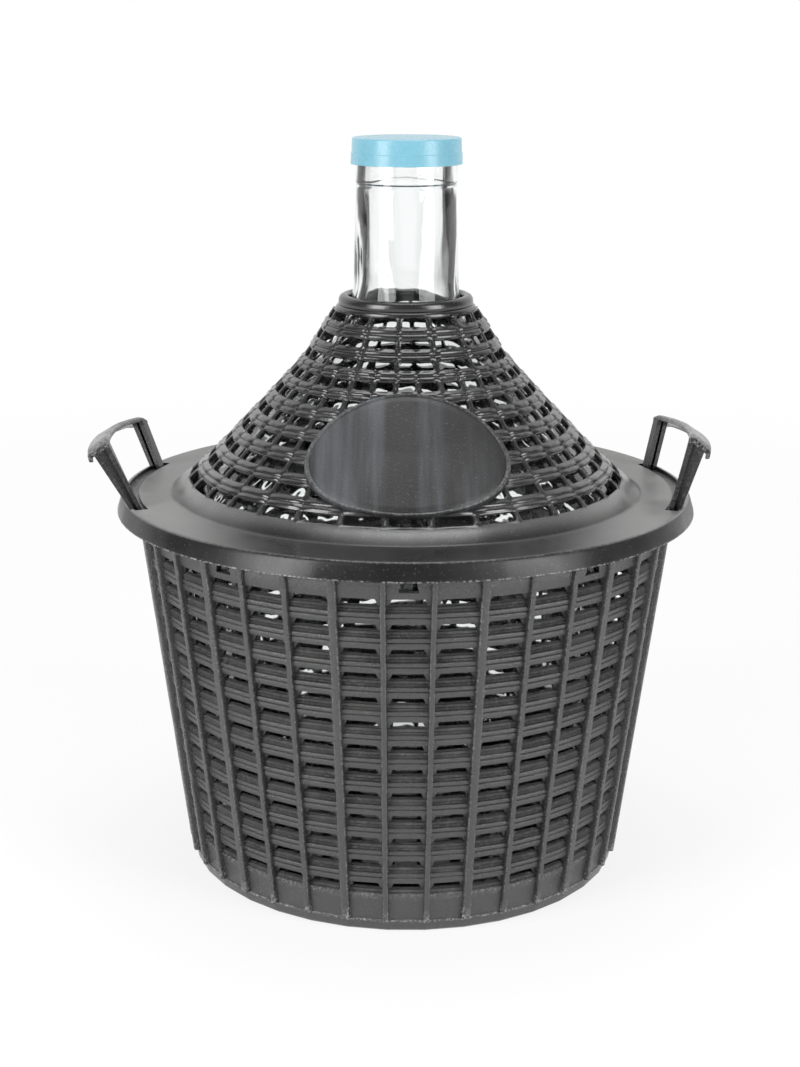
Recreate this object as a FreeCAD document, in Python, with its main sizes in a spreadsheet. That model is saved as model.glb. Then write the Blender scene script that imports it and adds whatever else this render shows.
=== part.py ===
"""Ten litre demijohn: a clear glass bottle in a black moulded basket, with a clip-on cover and a blue push-on cap.

Millimetres, +Z up, origin at the middle of the basket's underside.
The front, with the oval plate, faces -Y and the two carrying handles stand at +X and -X.
"""
import FreeCAD, Part
import math
import os
import re

import Sketcher

doc = FreeCAD.newDocument("demijohn")

# Driving dimensions
SIZES = [
    # basket: a tapered 36-sided wall of overlapping slats, crossed by upright ribs
    ("basket_radius", 122.6),
    ("basket_slope", 0.1272),
    ("basket_wall", 2.2),
    ("basket_floor", 3.0),
    ("basket_height", 214.6),
    ("foot_bevel", 1.5),
    ("slat_rows", 13),
    ("lowest_slat_top", 29.6),
    ("slat_pitch", 13.69),
    ("slat_lean", 1.4),
    ("ledge_drop", 0.5),
    ("gap_height", 3.2),
    ("gap_columns", 6),
    ("rib_count", 36),
    ("rib_depth", 3.0),
    ("rib_width", 3.2),
    ("rib_foot", 6.6),
    ("wide_rib_count", 12),
    ("wide_rib_width", 5.0),
    ("brim_radius", 158.4),
    ("brim_sides", 48),
    ("brim_thickness", 2.2),
    ("clip_count", 9),
    ("clip_width", 7.0),
    ("clip_depth", 14.0),
    # carrying handles, moulded on the basket's brim
    ("handle_root_inset", 6.9),
    ("handle_root_depth", 6.0),
    ("handle_half_angle", 20.6),
    ("handle_leg_angle", 2.0),
    ("handle_web_set_back", 0.6),
    ("handle_strip", 2.2),
    ("handle_height", 254.5),
    ("grip_depth", 12.0),
    ("grip_drop", 7.0),
    ("grip_thickness", 4.2),
    ("right_grip_radius", 156.5),
    ("left_grip_radius", 163.5),
    # cover: flat flange with a turned-down rim, and a bell of rings and windows
    ("flange_thickness", 2.2),
    ("rim_clearance", 0.2),
    ("rim_flare", 2.7),
    ("rim_height", 9.6),
    ("rim_wall", 1.7),
    ("rim_round", 1.2),
    ("slot_clearance", 1.0),
    ("clip_thickness", 1.6),
    ("clip_play", 0.5),
    ("skirt_foot_radius", 131.5),
    ("bell_sides", 32),
    ("bell_wall", 2.4),
    ("bell_radius", 119.7),
    ("bell_row_height", 226.4),
    ("bell_slope", 0.96),
    ("bend_height", 274.0),
    ("bend_radius", 230.0),
    ("window_rows", 10),
    ("window_pitch", 10.0),
    ("band_height", 4.6),
    ("window_height", 4.2),
    ("post_width", 3.0),
    ("upper_rows", 2),
    ("upper_windows", 16),
    ("lower_windows", 4),
    ("ring_depth", 1.7),
    ("collar_radius", 38.0),
    ("collar_bore", 31.8),
    ("collar_rise", 5.1),
    ("collar_depth", 7.0),
    ("collar_round", 1.6),
    ("plate_half_width", 54.0),
    ("plate_half_height", 37.0),
    ("plate_centre_height", 254.7),
    ("plate_rise", 2.6),
    # glass bottle, with enough sides to pass for round
    ("bottle_sides", 40),
    ("bottle_radius", 110.0),
    ("bottle_slope", 0.11),
    ("bottle_wall", 3.6),
    ("bottle_base", 6.0),
    ("inner_shoulder_drop", 1.2),
    ("bottle_corner", 20.0),
    ("shoulder_clearance", 3.0),
    ("shoulder_round", 42.0),
    ("neck_foot_radius", 29.5),
    ("neck_round", 55.0),
    ("neck_radius", 27.8),
    ("neck_bore_radius", 23.6),
    ("finish_height", 24.0),
    ("finish_radius", 28.0),
    ("finish_groove", 1.4),
    ("bottle_height", 406.7),
    # cap
    ("cap_clearance", 0.3),
    ("cap_wall", 1.9),
    ("cap_top", 1.9),
    ("cap_skirt", 12.2),
    ("cap_band", 6.2),
    ("cap_step", 0.4),
    ("cap_round", 0.8),
]

sheet = doc.addObject("Spreadsheet::Sheet", "Sizes")
for row, (alias, value) in enumerate(SIZES, start=1):
    sheet.set("A%d" % row, alias)
    sheet.set("B%d" % row, str(value))
    sheet.setAlias("B%d" % row, alias)
doc.recompute()


def size(alias):
    """Value of one driving dimension, as the sheet holds it."""
    return float(getattr(sheet, alias))


def named(text):
    """Turn the names of sizes in an expression into references to the sheet."""
    return re.sub("[a-z_]+", lambda word: "Sizes." + word[0] if word[0] in ALIASES else word[0], text)


ALIASES = {alias for alias, _ in SIZES}


# Places that several pieces share, each an expression on the sheet

def basket_outside(height):
    """Outer radius of the basket wall at a height."""
    return "(basket_radius + basket_slope * (%s))" % height


HANDLE_ROOT = "(brim_radius - handle_root_inset)"
FLANGE_TOP = "(basket_height + flange_thickness)"
RIM_INSIDE = "(brim_radius + rim_clearance)"
COLLAR_TOP = "(bell_row_height + window_pitch * (window_rows - 0.5) + collar_rise)"
CAP_SEAT = "(basket_floor + bottle_height)"
BELL_THROUGH = "(bell_wall * sqrt(1 + bell_slope ^ 2))"
SIN_BELL = "(bell_slope / sqrt(1 + bell_slope ^ 2))"
COS_BELL = "(1 / sqrt(1 + bell_slope ^ 2))"


def bell_straight(height):
    """Outer radius of the straight part of the bell at a height."""
    return "(bell_radius - bell_slope * (%s - bell_row_height))" % height


BEND_START = bell_straight("bend_height")
BEND_CENTRE_RADIUS = "(%s + bend_radius * %s)" % (BEND_START, COS_BELL)
BEND_CENTRE_HEIGHT = "(bend_height + bend_radius * %s)" % SIN_BELL


def bell_outside(height):
    """Outer radius of the bell between its rings: a cone that bends upright towards the collar."""
    arc = "%s - sqrt(bend_radius ^ 2 - (%s - %s) ^ 2)" % (
        BEND_CENTRE_RADIUS, height, BEND_CENTRE_HEIGHT)
    return "(%s > bend_height ? %s : %s)" % (height, arc, bell_straight(height))


ARC_STEPS = 3

# Helpers for sketches and features

def origin_plane(body, role):
    """One of a body's own origin planes."""
    for feature in body.Origin.OriginFeatures:
        if feature.Role == role:
            return feature
    raise ValueError("no origin plane " + role)


def new_body(label, loose=False):
    """An empty body; a loose one may hold several separate solids."""
    body = doc.addObject("PartDesign::Body", label)
    body.Label = label
    body.AllowCompound = loose
    return body


def outline(body, name, corners, direction=0.0):
    """A closed sketch of straight edges in the upright plane that faces a direction.

    Each corner is held by two expressions: its distance from the axis and its height.
    """
    sketch = body.newObject("Sketcher::SketchObject", name)
    sketch.AttachmentSupport = [(origin_plane(body, "XZ_Plane"), "")]
    sketch.MapMode = "FlatFace"
    turn = FreeCAD.Rotation(FreeCAD.Vector(0, 1, 0), direction)
    sketch.AttachmentOffset = FreeCAD.Placement(FreeCAD.Vector(0, 0, 0), turn)
    points = [FreeCAD.Vector(value_of(across), value_of(up), 0) for across, up in corners]
    for index, start in enumerate(points):
        sketch.addGeometry(Part.LineSegment(start, points[(index + 1) % len(points)]), False)
    for index in range(len(points)):
        following = (index + 1) % len(points)
        sketch.addConstraint(Sketcher.Constraint("Coincident", index, 2, following, 1))
    for index, (across, up) in enumerate(corners):
        for kind, text, place in (("DistanceX", across, points[index].x), ("DistanceY", up, points[index].y)):
            held = sketch.addConstraint(Sketcher.Constraint(kind, -1, 1, index, 1, place))
            sketch.setExpression("Constraints[%d]" % held, named(text))
    return sketch


def value_of(text):
    """Work out an expression on the sheet, for a sketch's first shape."""
    return float(sheet.evalExpression(named(text)))


def rounded(corners, index, radius, steps):
    """Replace one corner of an outline by an arc in short straight steps, and so a ring of narrow cones."""
    before, corner, after = [(value_of(across), value_of(up)) for across, up in corners[index - 1:index + 2]]
    turns = []
    for end in (before, after):
        length = math.hypot(end[0] - corner[0], end[1] - corner[1])
        turns.append(((end[0] - corner[0]) / length, (end[1] - corner[1]) / length))
    (ax, ay), (bx, by) = turns
    half = math.acos(ax * bx + ay * by) / 2
    reach = value_of(radius) / math.tan(half)
    middle = math.hypot(ax + bx, ay + by)
    centre = [value_of(radius) / math.sin(half) * part / middle for part in (ax + bx, ay + by)]
    start = math.atan2(ay * reach - centre[1], ax * reach - centre[0])
    sweep = math.atan2(by * reach - centre[1], bx * reach - centre[0]) - start
    sweep = (sweep + math.pi) % (2 * math.pi) - math.pi
    points = []
    for step in range(steps + 1):
        angle = start + sweep * step / steps
        points.append(("%s + %.6f" % (corners[index][0], centre[0] + value_of(radius) * math.cos(angle)),
                       "%s + %.6f" % (corners[index][1], centre[1] + value_of(radius) * math.sin(angle))))
    return corners[:index] + points + corners[index + 1:]


def revolve(body, name, sketch, angle=360.0, cut=False):
    """Turn a sketch about the upright axis, half of the angle each way."""
    feature = body.newObject("PartDesign::Groove" if cut else "PartDesign::Revolution", name)
    feature.Profile = sketch
    feature.ReferenceAxis = (sketch, ["V_Axis"])
    feature.Midplane = True
    if isinstance(angle, str):
        feature.setExpression("Angle", named(angle))
    else:
        feature.Angle = angle
    doc.recompute()
    return feature


def pad_both_ways(body, name, sketch, width):
    """Thicken a sketch evenly to both sides of its plane."""
    feature = body.newObject("PartDesign::Pad", name)
    feature.Profile = sketch
    feature.Midplane = True
    feature.setExpression("Length", named(width))
    doc.recompute()
    return feature


def polar(body, name, originals, sketch, count):
    """Repeat features evenly round the upright axis."""
    feature = body.newObject("PartDesign::PolarPattern", name)
    feature.Originals = originals
    feature.Axis = (sketch, ["V_Axis"])
    feature.Angle = 360.0
    feature.setExpression("Occurrences", named(count))
    body.Tip = feature
    doc.recompute()
    return feature


def polygon_section(name, sides, radius, height, turn):
    """One level regular polygon, a section of a loft."""
    section = doc.addObject("Part::RegularPolygon", name)
    section.setExpression("Polygon", named(sides))
    section.setExpression("Circumradius", named(radius))
    section.Placement = FreeCAD.Placement(FreeCAD.Vector(0, 0, value_of(height)),
                                          FreeCAD.Rotation(FreeCAD.Vector(0, 0, 1), turn))
    section.setExpression(".Placement.Base.z", named(height))
    return section


def stack(name, sides, levels, turn):
    """A closed solid through level polygons, with flat faces between each two levels."""
    loft = doc.addObject("Part::Loft", name + "_levels")
    loft.Sections = [polygon_section("%s_level_%d" % (name, index), sides, radius, height, turn)
                     for index, (radius, height) in enumerate(levels)]
    loft.Solid = True
    loft.Ruled = True
    doc.recompute()
    faces = []
    for face in loft.Shape.Faces:
        corners = [vertex.Point for vertex in face.OuterWire.OrderedVertexes]
        faces.append(Part.Face(Part.makePolygon(corners + corners[:1])))
    skin = Part.Shell(faces)
    skin.sewShape()
    solid = doc.addObject("Part::Feature", name)
    solid.Shape = Part.Solid(skin)
    return solid


def cut(name, base, tool):
    """One solid less another."""
    feature = doc.addObject("Part::Cut", name)
    feature.Base = base
    feature.Tool = tool
    doc.recompute()
    return feature


def window_cutters(name, openings):
    """Blocks that cut openings through a round wall.

    Each opening is (direction in degrees from +X, radius, height, width across, height of the block, reach).
    """
    blocks = []
    for direction, radius, height, width, tall, reach in openings:
        block = Part.makeBox(2 * reach, width, tall, FreeCAD.Vector(radius - reach, -width / 2, height - tall / 2))
        block.rotate(FreeCAD.Vector(0, 0, 0), FreeCAD.Vector(0, 0, 1), direction)
        blocks.append(block)
    cutters = doc.addObject("Part::Feature", name)
    cutters.Shape = Part.makeCompound(blocks)
    return cutters


# Basket

RIB_STEP = 360.0 / size("rib_count")
FRONT = -90.0


def slat_top(row):
    """Height of the step above a slat, counted from the lowest."""
    return "(lowest_slat_top + slat_pitch * %d)" % row


def basket_levels():
    """Outside of the wall: every slat leans in towards its top, and the next one stands out over it."""
    levels = [("basket_radius - foot_bevel", "0"),
              (basket_outside("foot_bevel"), "foot_bevel"),
              (basket_outside("lowest_slat_top - slat_pitch / 2"), "lowest_slat_top - slat_pitch / 2")]
    for row in range(int(size("slat_rows"))):
        top = slat_top(row)
        levels.append((basket_outside(top) + " - slat_lean", top + " - ledge_drop"))
        levels.append((basket_outside(top), top))
    levels.append((basket_outside("basket_height"), "basket_height"))
    return levels


def basket_gaps():
    """Openings under the steps, one bay in six on each row, moved on by one bay from row to row."""
    openings = []
    bays_between = int(size("rib_count") / size("gap_columns"))
    for row in range(int(size("slat_rows"))):
        height = value_of(slat_top(row)) - size("ledge_drop") - size("gap_height") / 2
        radius = value_of(basket_outside(str(height)))
        width = 2 * radius * math.sin(math.radians(RIB_STEP / 2)) - size("wide_rib_width")
        for column in range(int(size("gap_columns"))):
            direction = FRONT + RIB_STEP * (row + bays_between * column)
            openings.append((direction, radius, height, width, size("gap_height"), 2 * size("basket_wall")))
    return openings


def basket_wall():
    outside = stack("basket_outside", "rib_count", basket_levels(), RIB_STEP / 2)
    inside = stack("basket_inside", "rib_count",
                   [(basket_outside("basket_floor") + " - basket_wall - slat_lean", "basket_floor"),
                    (basket_outside("basket_height + basket_wall") + " - basket_wall - slat_lean",
                     "basket_height + basket_wall")], RIB_STEP / 2)
    return cut("basket_shell", outside, inside)


def rib_body(label, width, directions):
    """Upright ribs from above the foot to the brim: one for each direction, repeated for every wide rib."""
    body = new_body(label, loose=True)
    sunk = " - slat_lean - basket_wall / 2"
    ribs = []
    for index, direction in enumerate(directions):
        sketch = outline(body, "%s_outline_%d" % (label, index), [
            (basket_outside("rib_foot") + sunk, "rib_foot"),
            (basket_outside("rib_foot") + " + rib_depth", "rib_foot"),
            (basket_outside("basket_height") + " + rib_depth", "basket_height"),
            (basket_outside("basket_height") + sunk, "basket_height")], direction)
        ribs.append(pad_both_ways(body, "%s_%d" % (label, index), sketch, width))
    polar(body, label + "_all_round", ribs, sketch, "wide_rib_count")
    return body


def brim():
    """Flat brim that carries the cover and the handles."""
    low = "basket_height - brim_thickness"
    inside = basket_outside("basket_height") + " - slat_lean - basket_wall / 2"
    disc = stack("brim_disc", "brim_sides", [("brim_radius", low), ("brim_radius", "basket_height")], 0.0)
    hole = stack("brim_hole", "rib_count", [(inside, low + " - brim_thickness"),
                                            (inside, "basket_height + brim_thickness")], RIB_STEP / 2)
    return cut("brim", disc, hole)


def notch_cutters():
    """Blocks for the notches in the top band and brim, where the cover's clips go down."""
    openings = []
    height = size("basket_height")
    radius = value_of(basket_outside("basket_height"))
    reach = size("rib_depth") + size("basket_wall")
    for index in range(int(size("clip_count"))):
        direction = FRONT + 360.0 / size("clip_count") * index
        openings.append((direction, radius, height, size("clip_width"), 2 * size("clip_depth"), reach))
    return openings


def handle_body(side, grip_radius, sign):
    """A loop on the brim: two legs with a recess between edge strips, and a grip that follows the brim.

    The strips and the grip reach a little further round than the web between them.
    """
    body = new_body(side + "_handle")
    low = "basket_height - brim_thickness"
    seat = FLANGE_TOP
    root_in = HANDLE_ROOT
    root_out = "(%s + handle_root_depth)" % HANDLE_ROOT
    top_in = grip_radius
    top_out = "(%s + grip_depth)" % grip_radius
    crest = "handle_height"
    brow = "(handle_height - grip_drop)"

    def signed(corners):
        return [(sign + "(" + across + ")", up) for across, up in corners]

    whole = signed([(root_in, low), (root_out, low), (root_out, seat), (top_out, brow + " - grip_thickness"),
                    (top_out, brow), (top_in, crest), (top_in, crest + " - grip_thickness"), (root_in, seat)])
    web = outline(body, side + "_handle_web", whole)
    revolve(body, side + "_handle_loop", web, "2 * (handle_half_angle - handle_web_set_back)")
    inner_strip = signed([(root_in, low), (root_in + " + handle_strip", low), (root_in + " + handle_strip", seat),
                          (top_in + " + handle_strip + handle_web_set_back", crest + " - grip_thickness"),
                          (top_out, brow + " - grip_thickness"), (top_out, brow), (top_in, crest),
                          (top_in, crest + " - grip_thickness"), (root_in, seat)])
    revolve(body, side + "_handle_inner_strip", outline(body, side + "_inner_strip_outline", inner_strip),
            "2 * handle_half_angle")
    outer_strip = signed([(root_out + " - handle_strip", low), (root_out, low), (root_out, seat),
                          (top_out, brow + " - grip_thickness"), (top_out, brow),
                          (top_out + " - handle_strip", brow + " - grip_thickness"),
                          (root_out + " - handle_strip", seat)])
    revolve(body, side + "_handle_outer_strip", outline(body, side + "_outer_strip_outline", outer_strip),
            "2 * handle_half_angle")
    window = signed([(root_in + " - slot_clearance", "basket_height"), (top_out + " + slot_clearance", "basket_height"),
                     (top_out + " + slot_clearance", brow + " - grip_thickness - grip_drop / grip_depth"),
                     (top_in + " - slot_clearance", crest + " - grip_thickness + grip_drop / grip_depth"),
                     (root_in + " - slot_clearance", seat)])
    revolve(body, side + "_handle_opening", outline(body, side + "_opening_outline", window),
            "2 * (handle_half_angle - handle_leg_angle)", cut=True)
    return body


def make_basket():
    group = 360.0 / size("wide_rib_count")
    members = [basket_wall(),
               rib_body("thin_ribs", "rib_width", [FRONT - RIB_STEP / 2, FRONT + RIB_STEP / 2]),
               rib_body("wide_ribs", "wide_rib_width", [FRONT + group / 2]),
               brim(),
               handle_body("right", "right_grip_radius", ""),
               handle_body("left", "left_grip_radius", "-")]
    moulding = doc.addObject("Part::MultiFuse", "basket_moulding")
    moulding.Shapes = members
    moulding.Refine = False
    cutters = window_cutters("basket_cutters", basket_gaps() + notch_cutters())
    return cut("basket", moulding, cutters)


# Cover

BELL_STEP = 360.0 / size("bell_sides")


def band_centre(row):
    """Height of the middle of a window band, counted from the lowest."""
    return "(bell_row_height + window_pitch * %d)" % row


def bell_levels():
    """Outside of the bell from the flange up: skirt, then a recessed window band and a raised ring in turn."""
    levels = [("skirt_foot_radius", "basket_height"),
              ("skirt_foot_radius", FLANGE_TOP),
              (bell_outside(band_centre(0) + " - band_height / 2"), band_centre(0) + " - band_height / 2")]
    for row in range(int(size("window_rows"))):
        band_top = band_centre(row) + " + band_height / 2"
        next_band = band_centre(row + 1) + " - band_height / 2"
        levels.append((bell_outside(band_top), band_top))
        crest = "(%s + %s) / 2" % (band_top, next_band)
        levels.append((bell_outside(crest) + " + ring_depth", crest))
        if row + 1 < int(size("window_rows")):
            levels.append((bell_outside(next_band), next_band))
    return levels


def bell_hollow_levels():
    """Inside of the bell, one wall in from the bands."""
    levels = [("skirt_foot_radius - " + BELL_THROUGH, "basket_height - bell_wall"),
              ("skirt_foot_radius - " + BELL_THROUGH, "basket_height"),
              (bell_outside("bell_row_height") + " - " + BELL_THROUGH, "bell_row_height")]
    rows = int(size("window_rows"))
    for row in (rows // 2, rows * 3 // 4, rows):
        height = band_centre(row)
        levels.append((bell_outside(height) + " - bell_wall", height))
    return levels


def bell_windows():
    """Windows: every bay of the upper rows, and one bay in eight below, moved on by one from row to row."""
    openings = []
    rows = int(size("window_rows"))
    for row in range(rows):
        upper = row >= rows - int(size("upper_rows"))
        count = int(size("upper_windows") if upper else size("lower_windows"))
        bay = 360.0 / count if upper else BELL_STEP
        height = value_of(band_centre(row))
        radius = value_of(bell_outside(band_centre(row)))
        width = 2 * radius * math.sin(math.radians(bay / 2)) - size("post_width")
        first = FRONT + (bay / 2 if upper else BELL_STEP * (row + 0.5))
        for index in range(count):
            direction = first + 360.0 / count * index
            openings.append((direction, radius, height, width, size("window_height"), 3 * size("bell_wall")))
    return openings


def flange():
    """Flat flange with a turned-down rim, one slot each side for the handles."""
    foot = "(basket_height + flange_thickness - rim_height)"
    lid = stack("flange_lid", "brim_sides", [
        (RIM_INSIDE + " + rim_wall + rim_flare", foot),
        (RIM_INSIDE + " + rim_wall", FLANGE_TOP + " - rim_round"),
        (RIM_INSIDE + " + rim_wall - rim_round", FLANGE_TOP)], 0.0)
    hollow = stack("rim_hollow", "brim_sides", [
        (RIM_INSIDE + " + rim_flare", foot + " - rim_flare"),
        (RIM_INSIDE + " + rim_flare", foot),
        (RIM_INSIDE, "basket_height")], 0.0)
    middle = stack("flange_hole", "bell_sides", [
        ("skirt_foot_radius - bell_wall", "basket_height - flange_thickness"),
        ("skirt_foot_radius - bell_wall", FLANGE_TOP + " + flange_thickness")], BELL_STEP / 2)
    slots = new_body("handle_slots", loose=True)
    for side, sign in (("right", ""), ("left", "-")):
        inside = sign + "(%s - slot_clearance)" % HANDLE_ROOT
        outside = sign + "(%s + handle_root_depth + rim_clearance)" % HANDLE_ROOT
        slot = outline(slots, side + "_slot_outline", [
            (inside, "basket_height - flange_thickness"), (outside, "basket_height - flange_thickness"),
            (outside, FLANGE_TOP + " + flange_thickness"), (inside, FLANGE_TOP + " + flange_thickness")])
        revolve(slots, side + "_slot", slot, "2 * (handle_half_angle + slot_clearance)")
    return cut("flange", cut("flange_ring", cut("flange_tray", lid, hollow), middle), slots)


def clip_body():
    """Clips that hang from the flange through the basket's notches and hook under its top band."""
    body = new_body("clips", loose=True)
    wall = basket_outside("basket_height - clip_depth")
    inside = wall + " - clip_thickness"
    sketch = outline(body, "clip_outline", [
        (inside, "basket_height + flange_thickness / 2"),
        (inside, "basket_height - clip_depth + slot_clearance"),
        (wall, "basket_height - clip_depth + slot_clearance"),
        (wall + " + clip_thickness", "basket_height - clip_depth + slot_clearance + 2 * clip_thickness"),
        (wall, "basket_height - clip_depth + slot_clearance + 2 * clip_thickness"),
        (wall, "basket_height + flange_thickness / 2")], FRONT)
    clip = pad_both_ways(body, "clip", sketch, "clip_width - 2 * clip_play")
    polar(body, "clips_all_round", [clip], sketch, "clip_count")
    return body


def collar_body():
    """Rolled collar round the neck of the bottle."""
    body = new_body("collar")
    sketch = outline(body, "collar_outline", [
        ("collar_bore", COLLAR_TOP + " - collar_depth"),
        ("collar_radius", COLLAR_TOP + " - collar_depth"),
        ("collar_radius", COLLAR_TOP + " - collar_round"),
        ("collar_radius - collar_round", COLLAR_TOP),
        ("collar_bore", COLLAR_TOP)])
    revolve(body, "collar_ring", sketch)
    return body


def plate():
    """Oval plate on the front of the bell: an oval prism square to the slope, kept within a shell round the bell."""
    tilt = math.degrees(math.atan(size("bell_slope")))
    centre = value_of(bell_outside("plate_centre_height"))
    prism = doc.addObject("Part::Ellipse", "plate_oval")
    prism.setExpression("MajorRadius", named("plate_half_width"))
    prism.setExpression("MinorRadius", named("plate_half_height"))
    rise = doc.addObject("Part::Extrusion", "plate_prism")
    rise.Base = prism
    rise.DirMode = "Custom"
    rise.Dir = FreeCAD.Vector(0, 0, 1)
    rise.setExpression("LengthFwd", named("plate_half_width / 2"))
    rise.setExpression("LengthRev", named("plate_half_width / 2"))
    rise.Solid = True
    rise.Placement = FreeCAD.Placement(FreeCAD.Vector(0, -centre, size("plate_centre_height")),
                                       FreeCAD.Rotation(FreeCAD.Vector(1, 0, 0), 90.0 - tilt))
    low, high = "(bell_row_height - window_pitch)", "(bend_height + 2 * window_pitch)"
    front = stack("plate_front", "bell_sides", [
        (bell_straight(low) + " + ring_depth + plate_rise", low),
        (bell_straight(high) + " + ring_depth + plate_rise", high)], BELL_STEP / 2)
    back = stack("plate_back", "bell_sides", [
        (bell_straight(low) + " - bell_wall / 2", low),
        (bell_straight(high) + " - bell_wall / 2", high)], BELL_STEP / 2)
    oval = doc.addObject("Part::Common", "plate")
    oval.Base = rise
    oval.Tool = cut("plate_shell", front, back)
    doc.recompute()
    return oval


def make_cover():
    outside = stack("bell_outside", "bell_sides", bell_levels(), BELL_STEP / 2)
    hollow = stack("bell_inside", "bell_sides", bell_hollow_levels(), BELL_STEP / 2)
    shell = cut("bell_shell", outside, hollow)
    openwork = cut("bell", shell, window_cutters("bell_cutters", bell_windows()))
    moulding = doc.addObject("Part::MultiFuse", "cover")
    moulding.Shapes = [openwork, flange(), clip_body(), collar_body(), plate()]
    moulding.Refine = False
    doc.recompute()
    return moulding


# Bottle

def make_bottle():
    """Blown glass: tapered body, sloping shoulder that follows the bell, long neck and a plain finish."""
    base = "basket_floor"
    gap = "(%s + shoulder_clearance)" % BELL_THROUGH
    shoulder = "((bell_radius + bell_slope * bell_row_height - %s - bottle_radius + bottle_slope * basket_floor)" \
        " / (bell_slope + bottle_slope))" % gap
    shoulder_radius = "(bottle_radius + bottle_slope * (%s - basket_floor))" % shoulder
    neck_foot = "(bell_row_height + (bell_radius - %s - neck_foot_radius) / bell_slope)" % gap
    finish = "(%s - finish_height)" % CAP_SEAT
    corners = [
        ("0", base), ("bottle_radius", base), (shoulder_radius, shoulder), ("neck_foot_radius", neck_foot),
        ("neck_radius", finish + " - finish_groove"), ("neck_radius - finish_groove / 2", finish),
        ("finish_radius", finish + " + finish_groove"), ("finish_radius", CAP_SEAT), ("0", CAP_SEAT)]
    corners = rounded(corners, 3, "neck_round", ARC_STEPS)
    corners = rounded(corners, 2, "shoulder_round", ARC_STEPS)
    corners = rounded(corners, 1, "bottle_corner", ARC_STEPS)
    blank = stack("bottle_blank", "bottle_sides", corners[1:-1], 0.0)
    floor = "(basket_floor + bottle_base)"
    slant = "(bottle_wall * sqrt(1 + bell_slope ^ 2))"
    inner_shoulder = "(%s - inner_shoulder_drop)" % shoulder
    inner_neck = "(%s + (neck_foot_radius - neck_bore_radius) / bell_slope - %s / bell_slope)" % (
        neck_foot, slant)
    cavity_shoulder = bell_straight(inner_shoulder) + " - %s - %s" % (gap, slant)
    corners = [
        ("0", floor), ("bottle_radius - bottle_wall", floor), (cavity_shoulder, inner_shoulder),
        ("neck_bore_radius", inner_neck), ("neck_bore_radius", CAP_SEAT + " + cap_top")]
    corners = rounded(corners, 3, "neck_round + bottle_wall", ARC_STEPS)
    corners = rounded(corners, 2, "shoulder_round - bottle_wall", ARC_STEPS)
    corners = rounded(corners, 1, "bottle_corner - bottle_wall", ARC_STEPS)
    cavity = stack("bottle_cavity", "bottle_sides", corners[1:-1], 0.0)
    bore = new_body("neck_bore")
    revolve(bore, "neck_bore_turned", outline(bore, "neck_bore_outline", [
        ("0", inner_neck), ("neck_bore_radius", inner_neck),
        ("neck_bore_radius", CAP_SEAT + " + cap_top"), ("0", CAP_SEAT + " + cap_top")]))
    return cut("bottle", cut("bottle_shell", blank, cavity), bore)


# Cap

def make_cap():
    """Push-on cap: a flat top, a straight wall and a slightly wider band below."""
    body = new_body("cap")
    inner = "(finish_radius + cap_clearance)"
    outer = "(finish_radius + cap_clearance + cap_wall)"
    foot = "(%s - cap_skirt)" % CAP_SEAT
    step = "(%s - cap_skirt + cap_band)" % CAP_SEAT
    sketch = outline(body, "cap_outline", [
        ("0", CAP_SEAT), (inner, CAP_SEAT), (inner, foot), (outer + " + cap_step", foot),
        (outer + " + cap_step", step), (outer, step), (outer, CAP_SEAT + " + cap_top - cap_round"),
        (outer + " - cap_round", CAP_SEAT + " + cap_top"), ("0", CAP_SEAT + " + cap_top")])
    revolve(body, "cap_shell", sketch)
    return body


pieces = [make_basket(), make_cover(), make_bottle(), make_cap()]

doc.recompute()
for thing in doc.Objects:
    if "Invalid" in thing.State or "Error" in thing.State:
        raise RuntimeError("%s failed: %s" % (thing.Name, thing.State))
for piece in pieces:
    if piece.Shape.isNull() or not piece.Shape.isValid():
        raise RuntimeError(piece.Label + " has no valid shape")

os.makedirs("parts", exist_ok=True)
for piece in pieces:
    piece.Shape.exportStep("parts/%s.step" % piece.Label)
    print(piece.Label, len(piece.Shape.Solids), "solids", round(piece.Shape.Volume), "mm3")
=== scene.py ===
# %% [markdown]
# This file dresses a measured model of a demijohn, a big glass bottle that lives in a plastic basket.
# The measured model is loaded first and stays where it is, because other programs weigh it and move it.
# Everything made here is either a finer copy of one of its pieces, or the light, floor and camera round it.

# %% Load the measured model
import math
import bpy
import numpy as np
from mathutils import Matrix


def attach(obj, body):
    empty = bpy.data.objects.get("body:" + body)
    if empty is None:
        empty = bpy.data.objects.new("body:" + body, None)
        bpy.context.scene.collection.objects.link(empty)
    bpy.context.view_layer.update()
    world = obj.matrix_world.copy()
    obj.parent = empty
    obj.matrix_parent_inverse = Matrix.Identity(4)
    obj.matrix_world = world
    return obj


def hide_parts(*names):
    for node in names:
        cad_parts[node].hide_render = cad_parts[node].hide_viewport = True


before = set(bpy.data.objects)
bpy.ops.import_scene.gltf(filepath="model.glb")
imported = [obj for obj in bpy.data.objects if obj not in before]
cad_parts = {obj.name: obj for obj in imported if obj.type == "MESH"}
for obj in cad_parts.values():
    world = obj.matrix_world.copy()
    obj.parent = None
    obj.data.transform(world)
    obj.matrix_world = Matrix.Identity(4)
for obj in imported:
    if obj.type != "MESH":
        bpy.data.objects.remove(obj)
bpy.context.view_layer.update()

# %% [markdown]
# Lengths on a bottle and basket are easiest to read in millimetres, and Blender counts in metres.
# One factor turns the first into the second, at the last moment, when points go into a mesh.

# %% Millimetres
MM = 0.001
FULL_TURN = 2 * math.pi
FRONT = math.radians(-90.0)


def seeded(seed):
    """A random source that gives the same numbers on every run."""
    return np.random.default_rng(seed)


print("one millimetre is", MM, "metre")

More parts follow.
